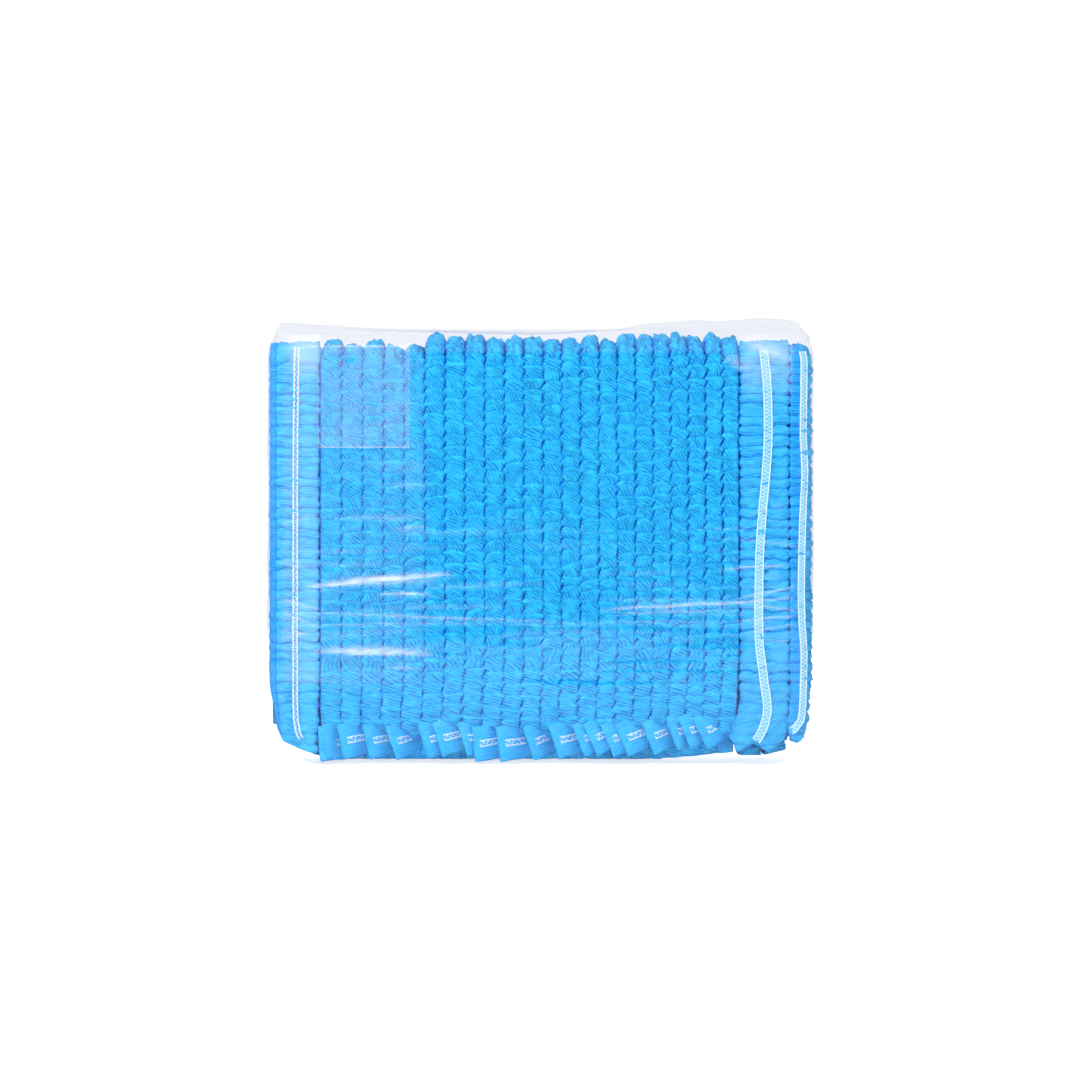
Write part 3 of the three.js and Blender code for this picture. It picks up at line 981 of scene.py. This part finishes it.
def faceY(name, x, z):
    # the y of a face-out strip's middle surface at this x
    shape = faceShapes[name]
    shares = [(point[1], point[2]) for point in shape["section"] if point[0] <= 0.7]
    shares.sort()
    y = onLine(shares, x)[0]
    if z > faceStrips["shoulder"]:
        part = clamp((z - faceStrips["shoulder"]) / (shape["top"] - faceStrips["shoulder"]))
        y = mix(y, shape["back"][0][1], 0.55 * (1 - (1 - part * part) ** 0.5))
    return y


def bandSpot(name, line, k, across, out):
    # across in mm from the middle line of a band, out in mm from the strip's middle surface
    x, z = line[k]
    before, after = line[max(k - 1, 0)], line[min(k + 1, len(line) - 1)]
    dx, dz = after[0] - before[0], after[1] - before[1]
    size = hypot(dx, dz) or 1
    px, pz = x + dz / size * across, z - dx / size * across
    return Vector((px, faceY(name, px, pz) - out - 0.2 * wobble(z / 3, across / 6 + 5), pz))


def zigzagSwing(k):  # three steps from one side to the other
    return 2 * abs((k / 3 + 0.5) % 2 - 1) - 1


def addTape(bm, name, line, length):
    band = elastics
    last = len(line) - 1
    width = band["widths"][name] + 0.6

    def place(u, v):
        along = v * length
        cross = 0.14 * abs(sin(pi * along / band["zigzagPitch"][name]))
        edge = 1 + 0.05 * wobble(along / 2, 2 if u > 0.5 else 7)
        return bandSpot(name, line, round(v * last), (u - 0.5) * width * edge, band["lift"] - 0.2 + cross)

    spots, _ = addGrid(bm, 8, last, place, lambda u, v, mu, mv: (v * length, u * width))
    closeBehind(bm, spots, lambda point, u, v: (point.x, point.y + band["tapeThick"], point.z))


def addSideThreads(bm, name, line, length):
    band = elastics
    beads = length / band["beadPitch"]
    for side in (-0.5, 0.5):
        across = side * band["widths"][name]
        points = [
            bandSpot(name, line, k, across + 0.13 * wobble(k / 6, side * 9), band["lift"] + 0.12)
            for k in range(len(line))
        ]
        addTube(bm, points, lambda v: band["threadRadius"] * (0.7 + 0.45 * abs(sin(pi * v * beads))), 7, 0.8)


def addZigzag(bm, name, line, length):
    band = elastics
    turns = round(length / band["zigzagPitch"][name])
    points = []
    for k in range(turns * 3 + 1):
        spot = round(k / (turns * 3) * (len(line) - 1))
        across = zigzagSwing(k) * band["widths"][name] * 0.46
        points.append(bandSpot(name, line, spot, across, band["lift"] + 0.1))
    addTube(bm, points, lambda v: band["zigzagRadius"], 5)


for name in bandRoutes:
    line, length = smoothRoute(bandRoutes[name], elastics["step"])
    if name != "left":  # the left one has no tape
        bm = bmesh.new()
        addTape(bm, name, line, length)
        finishPiece("tape_" + name, bm, tapeCloth, ["elastic_" + name])
    bm = bmesh.new()
    addSideThreads(bm, name, line, length)
    addZigzag(bm, name, line, length)
    finishPiece("threads_" + name, bm, elastic, ["elastic_" + name])
print("elastics made")


# the elastic on the loose ends: two lines of stitches with a zigzag between them

endStitches = {
    "from": 3.2,  # from the cut edge
    "apart": 2.7,
    "radius": 0.42,
    "zigzag": 1.3,
    "showing": 13,
}


def addEndStitches(bm, index, facing):
    stitches = endStitches
    far = min(endReach(index) * 0.8, stitches["showing"])
    count = round((far - stitches["from"]) / (0.4 if facing else 0.8))
    for offset in (-0.5, 0.5):
        points = []
        for k in range(count + 1):
            along = mix(stitches["from"], far, k / count)
            spot = endSpot(index, along, offset * stitches["apart"])
            points.append(spot + Vector((0, -0.34, 0.18 * wobble(along * 1.3, index, offset))))
        beads = (far - stitches["from"]) / 1.3
        addTube(bm, points, lambda v: stitches["radius"] * (0.5 + 0.75 * abs(sin(pi * v * beads))), 6)
    points = []
    turns = round((far - stitches["from"]) / stitches["zigzag"])
    for k in range(turns * 3 + 1):
        along = mix(stitches["from"], far, k / (turns * 3))
        spot = endSpot(index, along, zigzagSwing(k) * stitches["apart"] * 0.45)
        points.append(spot + Vector((0, -0.4, 0)))
    addTube(bm, points, lambda v: stitches["radius"] * 0.55, 5)


for side in ("front", "back"):
    bm = bmesh.new()
    for index in range(1, rowOfStrips["count"]):
        addEndStitches(bm, index, side == "front")
    if side == "back":
        toOtherSide(bm)
    finishPiece("stitches_ends_" + side, bm, elastic, [])
print("stitches made")


# the bag

bag = {
    "frontSteps": 150,
    "backSteps": 75,  # half of frontSteps, so the mouth's two edges meet
    "cornerSteps": 6,
    "sideSteps": 10,
    "slack": 0.75,  # how far the film stands outside the drawn levels
    "broad": 0.3,
    "tension": 0.07,
    "crumple": 1.0,  # at the shoulder and the mouth
    "mouth": 224.6,
}

# the film's left and right edge, half depth and corner radius at each height
bagLevels = [
    (0.3, -110.0, 117.0, 22.0, 6.0),
    (1.2, -114.5, 121.5, 23.8, 6.5),
    (3.0, -119.0, 125.0, 25.0, 7.0),
    (7.0, -124.8, 129.0, 25.8, 8.0),
    (14, -130.5, 132.2, 26.0, 9.0),
    (26, -134.0, 134.2, 26.0, 9.0),
    (60, -135.2, 135.2, 26.0, 9.0),
    (203, -135.2, 135.2, 26.0, 9.0),
    (207.0, -134.8, 134.8, 24.8, 8.8),
    (210.0, -134.2, 134.4, 22.4, 8.5),
    (213.0, -133.4, 133.6, 18.2, 8.0),
    (216.0, -132.6, 132.4, 12.6, 6.0),
    (219.0, -132.0, 131.6, 6.8, 3.2),
    (222.0, -131.4, 130.8, 2.0, 1.4),
    (224.6, -131.2, 130.6, 0.0, 0.0),
]

# the long creases that catch the light, with a highlight painted along them: left and right end, height, half
# width, how far it stands out, its slope, and how strong its painted highlight is
creases = [
    (-103, -56, 122.4, 0.7, 0.35, 0.01, 0.12),
    (-72, -55, 117.6, 0.6, 0.35, 0.02, 0.18),
    (-88, -54, 148.0, 1.6, 0.30, 0.00, 0.05),
    (-84, -50, 139.0, 0.6, 0.25, 0.01, 0.08),
    (-118, -42, 91.4, 1.3, 0.75, 0.085, 0.55),
    (-112, -50, 89.6, 0.5, 0.35, 0.06, 0.25),
    (-80, -54, 84.6, 0.6, 0.45, 0.02, 0.45),
    (-129, 4, 73.6, 0.5, 0.40, -0.035, 0.22),
    (-128, -20, 70.0, 0.4, 0.30, 0.015, 0.16),
    (-113, -52, 55.6, 1.9, 0.60, -0.02, 0.45),
    (-78, -58, 48.0, 0.7, 0.40, 0.00, 0.22),
    (-134, -106, 80.0, 0.45, 0.35, -0.28, 0.30),
    (-134, -108, 73.0, 0.45, 0.35, -0.45, 0.30),
    (-134, -110, 64.0, 0.45, 0.35, 0.25, 0.25),
    (-134, -113, 66.0, 0.40, 0.30, -0.20, 0.20),
    (-134, -114, 135.0, 0.40, 0.30, -0.42, 0.18),
    (-134, -112, 121.0, 0.40, 0.30, 0.30, 0.16),
    (-134, -115, 152.0, 0.40, 0.30, -0.50, 0.14),
    (-134, -113, 100.0, 0.40, 0.30, -0.30, 0.18),
    (30, 112, 79.0, 0.8, 0.45, 0.050, 0.38),
    (36, 100, 76.0, 0.5, 0.35, 0.030, 0.22),
    (2, 110, 71.0, 0.4, 0.25, 0.010, 0.12),
    (88, 124, 98.0, 0.5, 0.35, 0.06, 0.30),
    (96, 134, 86.0, 0.45, 0.35, 0.20, 0.30),
    (96, 134, 82.0, 0.45, 0.35, 0.10, 0.26),
    (98, 134, 78.0, 0.45, 0.35, -0.12, 0.28),
    (97, 134, 73.0, 0.45, 0.35, 0.08, 0.26),
    (99, 130, 68.0, 0.45, 0.30, 0.16, 0.22),
    (100, 126, 62.0, 0.40, 0.30, -0.05, 0.18),
    (99, 134, 110.0, 0.40, 0.30, -0.15, 0.16),
    (102, 134, 128.0, 0.40, 0.30, 0.25, 0.14),
    (90, 104, 198.5, 2.4, 0.30, -0.45, 0.2),
    (101, 124, 204.5, 3.0, 0.30, -0.40, 0.26),
    (-118, -60, 207.4, 0.5, 0.30, 0.01, 0.30),
    (-20, 40, 66.0, 0.8, 0.25, 0.03, 0.06),
]

# x and height along the mouth
mouthEdge = [
    (-136, 219.4), (-134, 221.4), (-110, 219.8), (-67, 217.6), (-30, 216.6), (5, 216.2), (40, 218.2),
    (54, 220.6), (79, 222.4), (90, 221.6), (111, 223.4), (125, 222.6), (131.5, 220.4), (136, 218.2),
]


def creaseAt(x, z):
    # how far the film stands out at this place, and how much highlight is painted on it along the creases
    out, milkAndPaintedSheen = 0.0, 0.0
    for left, right, height, half, stand, slope, paintedSheen in creases:
        if x < left - 4 or x > right + 4 or abs(z - height) > 16:
            continue
        span = clamp((x - left) / (right - left))
        taper = sin(pi * span) ** 0.55 if 0 < span < 1 else 0
        middle = height + slope * (x - (left + right) / 2) + 0.6 * wobble(x / 14, height)
        near = (z - middle) / (half * (0.35 + 0.65 * taper))
        if abs(near) < 4:
            out += stand * taper * bell(near)
            above = near / 1.9 if near > 0 else near * 1.5  # highlight painted above the crease, clear below it
            paintedStreak = 1.15 * paintedSheen * taper * 2.718 ** (-above * above * 1.4)
            milkAndPaintedSheen += paintedStreak * (0.8 + 0.5 * wobble(x / 5, z / 2))
    return out, milkAndPaintedSheen


def bagLevelAt(z):
    # the levels' bends are eased, so no line runs round the film at a level
    if z >= bag["mouth"]:
        return bagLevels[-1][1:]
    reach = 2.6 if z > 30 else 0.6
    samples = [onLine(bagLevels, clamp(z + reach * k / 2, 0.3, bag["mouth"])) for k in (-2, -1, 0, 1, 2)]
    return [sum(values) / 5 for values in zip(*samples)]


# the film's rows: from and to which height, in how many steps
filmSpans = [
    (0.3, 3, 8), (3, 26, 16), (26, 45, 14), (45, 126, 112),
    (126, 203, 36), (203, 213.5, 14), (213.5, 218, 10), (218, 224.6, 8),
]


def filmRows():
    rows = [mix(low, high, k / steps) for low, high, steps in filmSpans for k in range(steps)]
    return rows + [filmSpans[-1][1]]


# each corner's first angle, and the sides of the bag that it joins: right 1 or left -1, back 1 or front -1
bagCorners = {"cornerA": (-90, 1, -1), "cornerB": (0, 1, 1), "cornerC": (90, -1, 1), "cornerD": (180, -1, -1)}


def filmStations():
    # around the bag from its front left: side, share along that side
    corner, side = bag["cornerSteps"], bag["sideSteps"]
    order = [("front", bag["frontSteps"]), ("cornerA", corner), ("right", side), ("cornerB", corner)]
    order += [("back", bag["backSteps"]), ("cornerC", corner), ("left", side), ("cornerD", corner)]
    return [(name, k / steps) for name, steps in order for k in range(steps)]


def ringSpot(name, share, left, right, half, corner):
    # a place on the bag's drawn level, and the way outward there
    if name in bagCorners:
        start, sideX, sideY = bagCorners[name]
        angle = radians(start + 90 * share)
        nx, ny = cos(angle), sin(angle)
        middleX = right - corner if sideX > 0 else left + corner
        return middleX + corner * nx, sideY * (half - corner) + corner * ny, nx, ny
    if name == "front":
        return mix(left + corner, right - corner, share), -half, 0, -1
    if name == "back":
        return mix(right - corner, left + corner, share), half, 0, 1
    if name == "right":
        return right, mix(corner - half, half - corner, share), 1, 0
    return left, mix(half - corner, corner - half, share), -1, 0


def filmCrumple(x, y, z, loose):
    # crumpled at the shoulder and the mouth, a little at the foot and at the two edges
    coarse = wobble(x / 11 + z / 9, y / 8, z / 7) + 0.6 * wobble(x / 4.5 - z / 6, y / 6, z / 5)
    foot = (1 - ease((z - 3) / 14)) * ease(z / 2)
    edge = ease((abs(x) - 96) / 30)
    rough = bag["crumple"] * loose * coarse + 0.5 * foot * wobble(x / 9, y / 9, z / 4)
    return rough + 0.25 * edge * wobble(x / 6, y / 8 + 4, z / 16)


def frontWhitening(x, z):
    # the front is whiter over the left end, and more at the two upper ends
    milkAndPaintedSheen = 0.03 * ease((-52 - x) / 12) * (0.8 + 0.6 * wobble(x / 14, z / 7))
    milkAndPaintedSheen += 0.06 * ease((-109 - x) / 3) * (0.8 + 0.6 * wobble(x / 8, z / 5))
    milkAndPaintedSheen += 0.18 * ease((z - 188) / 14) * ease((-108 - x) / 4) * ease((x + 127) / 8)
    return milkAndPaintedSheen + 0.12 * ease((z - 176) / 22) * ease((x - 98) / 5) * ease((126 - x) / 3)


def mouthWave(x):
    ripple = ease((x - 60) / 20) * 1.2 * wobble(x / 5, 2.5)
    return 1.6 * wobble(x / 17, 1.5) + 0.7 * wobble(x / 6, 8.5) + ripple


def addFilm(bm, stations, rows):
    count, last = len(stations), len(rows) - 1
    levels = [bagLevelAt(z) for z in rows]
    hazeAndSheenValues = {}

    def place(u, v):
        station, row = round(u * count) % count, round(v * last)
        z = rows[row]
        x, y, nx, ny = ringSpot(*stations[station], *levels[row])
        loose = ease((z - 202) / 12) * (1 - 0.55 * ease((z - 214) / 6))
        out = bag["slack"] + bag["broad"] * wobble(x / 45, y / 20, z / 24)
        out += bag["tension"] * wobble(x / 50, y / 20, z / 3.4) * ease((z - 4) / 20)
        out += filmCrumple(x, y, z, loose)
        milkAndPaintedSheen = 0.0
        if stations[station][0] == "front" and 40 < z < 214:
            stand, paintedStreak = creaseAt(x, z)
            out += stand
            milkAndPaintedSheen = paintedStreak + frontWhitening(x, z)
        top = ease((z - 216) / 8.6)
        z += top * (onLine(mouthEdge, x)[0] - bag["mouth"]) + 0.25 * top * wobble(x / 3.5, 9)
        z += 0.35 * loose * wobble(x / 8, 3, y / 6)
        if z > 214:  # pressed flat towards the mouth
            flat = ease((z - 214) / 4)
            y += mouthWave(x) * flat
            out *= 1 - 0.75 * flat
        if row == last:
            out = 0
        milkAndPaintedSheen += 0.05 * ease((z - 208) / 8) * (0.6 + 0.8 * wobble(x / 9, z / 3, 4))
        hazeAndSheenValues[(station, row)] = clamp(milkAndPaintedSheen)
        return (x + nx * out, y + ny * out, z)

    layer = bm.verts.layers.float.new("hazeAndPaintedSheen")
    spots, _ = addGrid(bm, count, last, place)
    for vert, (u, v) in spots.items():
        vert[layer] = hazeAndSheenValues[(round(u * count) % count, round(v * last))]
    closeRound(bm, spots, 0.01, topToo=True)


bm = bmesh.new()
addFilm(bm, filmStations(), filmRows())
finishPiece("bag_clear_film", bm, film, ["bag_film"])

# the patch of doubled film at the upper left
filmPatch = {
    "left": -110.4,
    "right": -64.8,
    "low": 157.2,
    "high": 207.6,
    "y": -25.55,
    "hazeAndPaintedSheen": 0.1,
    "steps": (46, 70),
}


def addPatch(bm):
    patch = filmPatch
    hazeAndSheenValues = {}

    def place(u, v):
        x, z = mix(patch["left"], patch["right"], u), mix(patch["low"], patch["high"], v)
        z += 0.5 * wobble(x / 12, 4) * (1 - v)
        fold = 1 - ease((z - patch["low"]) / 0.9)
        edge = 1 - ease(min(u, 1 - u) * 46 / 0.9)
        y = patch["y"] + 0.12 * wobble(x / 9, z / 9) - 0.35 * fold * (0.5 + 0.5 * wobble(x / 6, 1))
        hazeAndPaintedSheen = patch["hazeAndPaintedSheen"] * (0.85 + 0.4 * wobble(x / 10, z / 6))
        # a highlight painted along the patch's lower fold and, more faintly, along its side edges
        hazeAndSheenValues[(u, v)] = clamp(hazeAndPaintedSheen + 0.35 * fold + 0.08 * edge)
        return (x, y, z)

    layer = bm.verts.layers.float.new("hazeAndPaintedSheen")
    spots, _ = addGrid(bm, *patch["steps"], place)
    for vert, spot in spots.items():
        vert[layer] = hazeAndSheenValues[spot]


bm = bmesh.new()
addPatch(bm)
finishPiece("bag_doubled_film", bm, doubledFilm, [])
print("bag made")


# stage, light and camera

stageLook = {
    "floor": (0.93, 0.93, 0.94, 1),
    "floorHalf": 6,  # metres
    "floorGlow": 0.85,
    "worldSeen": 1.0,
    "worldLight": 0.22,
    "worldMirrored": 0.9,
    "worldBehindCamera": 0.1,
    "exposure": 0.0,
    "aim": (0, 0, 0.11),  # the middle of the pack
}

bm = bmesh.new()
bmesh.ops.create_grid(bm, x_segments=1, y_segments=1, size=stageLook["floorHalf"])
floorMesh = bpy.data.meshes.new("floor")
bm.to_mesh(floorMesh)
bm.free()
floorPlane = bpy.data.objects.new("floor", floorMesh)
bpy.context.scene.collection.objects.link(floorPlane)
floorMaterial, floorTree = newMaterial("paleFloor")
floorRays = newNode(floorTree, "LightPath")
floorGlow = mathNode(floorTree, "MULTIPLY", floorRays.outputs["Is Camera Ray"], stageLook["floorGlow"])
floorInputs = {
    "Base Color": stageLook["floor"],
    "Roughness": 0.9,
    "Specular IOR Level": 0.1,
    "Emission Color": (1, 1, 1, 1),
    "Emission Strength": floorGlow,
}
setInputs(floorTree, floorTree.nodes["Principled BSDF"], floorInputs)
floorMesh.materials.append(floorMaterial)

world = bpy.data.worlds.new("studio")
bpy.context.scene.world = world
world.use_nodes = True
studio = world.node_tree
heading = newNode(studio, "TexCoord")
axes = newNode(studio, "SeparateXYZ", {"Vector": heading.outputs["Generated"]})
# the room is dim behind the camera, so the film stays clear
dim = newNode(studio, "MapRange", {"Value": axes.outputs["Y"], "From Min": -0.96, "From Max": -0.72})
dim.interpolation_type = "SMOOTHSTEP"
setInputs(studio, dim, {"To Min": stageLook["worldBehindCamera"], "To Max": stageLook["worldMirrored"]})
rays = newNode(studio, "LightPath").outputs
# what the film mirrors is brighter than what lights the cloth
lit = newNode(studio, "MapRange", {"Value": rays["Is Glossy Ray"], "To Min": stageLook["worldLight"]})
setInputs(studio, lit, {"To Max": dim.outputs["Result"]})
seen = newNode(studio, "MapRange", {"Value": rays["Is Camera Ray"], "To Max": stageLook["worldSeen"]})
setInputs(studio, seen, {"To Min": lit.outputs["Result"]})
setInputs(studio, studio.nodes["Background"], {"Color": (1, 1, 1, 1), "Strength": seen.outputs["Result"]})

# place, width, height and power of each light; all aim at the middle of the pack
softboxes = {
    "key": ((-0.55, -0.85, 1.35), 0.7, 0.5, 20.4),
    "front": ((0.0, -1.6, 0.16), 1.6, 0.3, 8.5),
    "left": ((-1.4, -1.0, 0.3), 0.9, 0.9, 5.6),
    "right": ((1.4, -0.9, 0.25), 0.9, 0.9, 7.2),
    "back": ((0.4, 1.5, 0.7), 1.0, 0.8, 12),
}

for name, (place, width, height, power) in softboxes.items():
    data = bpy.data.lights.new("softbox_" + name, "AREA")
    data.shape = "RECTANGLE"
    data.size, data.size_y, data.energy = width, height, power
    lamp = bpy.data.objects.new("softbox_" + name, data)
    lamp.location = place
    lamp.rotation_euler = (Vector(stageLook["aim"]) - Vector(place)).to_track_quat("-Z", "Y").to_euler()
    lamp.visible_glossy = False  # the film mirrors the room, not the lamps
    bpy.context.scene.collection.objects.link(lamp)

cameraSettings = {"lens": 85, "sensor": 36, "place": (-0.00025, -1.2877, 0.1115), "farthest": 50}
cameraData = bpy.data.cameras.new("camera")
cameraData.lens = cameraSettings["lens"]
cameraData.sensor_width = cameraSettings["sensor"]
cameraData.clip_end = cameraSettings["farthest"]
camera = bpy.data.objects.new("camera", cameraData)
camera.location = cameraSettings["place"]
camera.rotation_euler = (radians(90), 0, 0)
bpy.context.scene.collection.objects.link(camera)
bpy.context.scene.camera = camera
bpy.context.scene.view_settings.view_transform = "Standard"
bpy.context.scene.view_settings.exposure = stageLook["exposure"]
print("stage made")
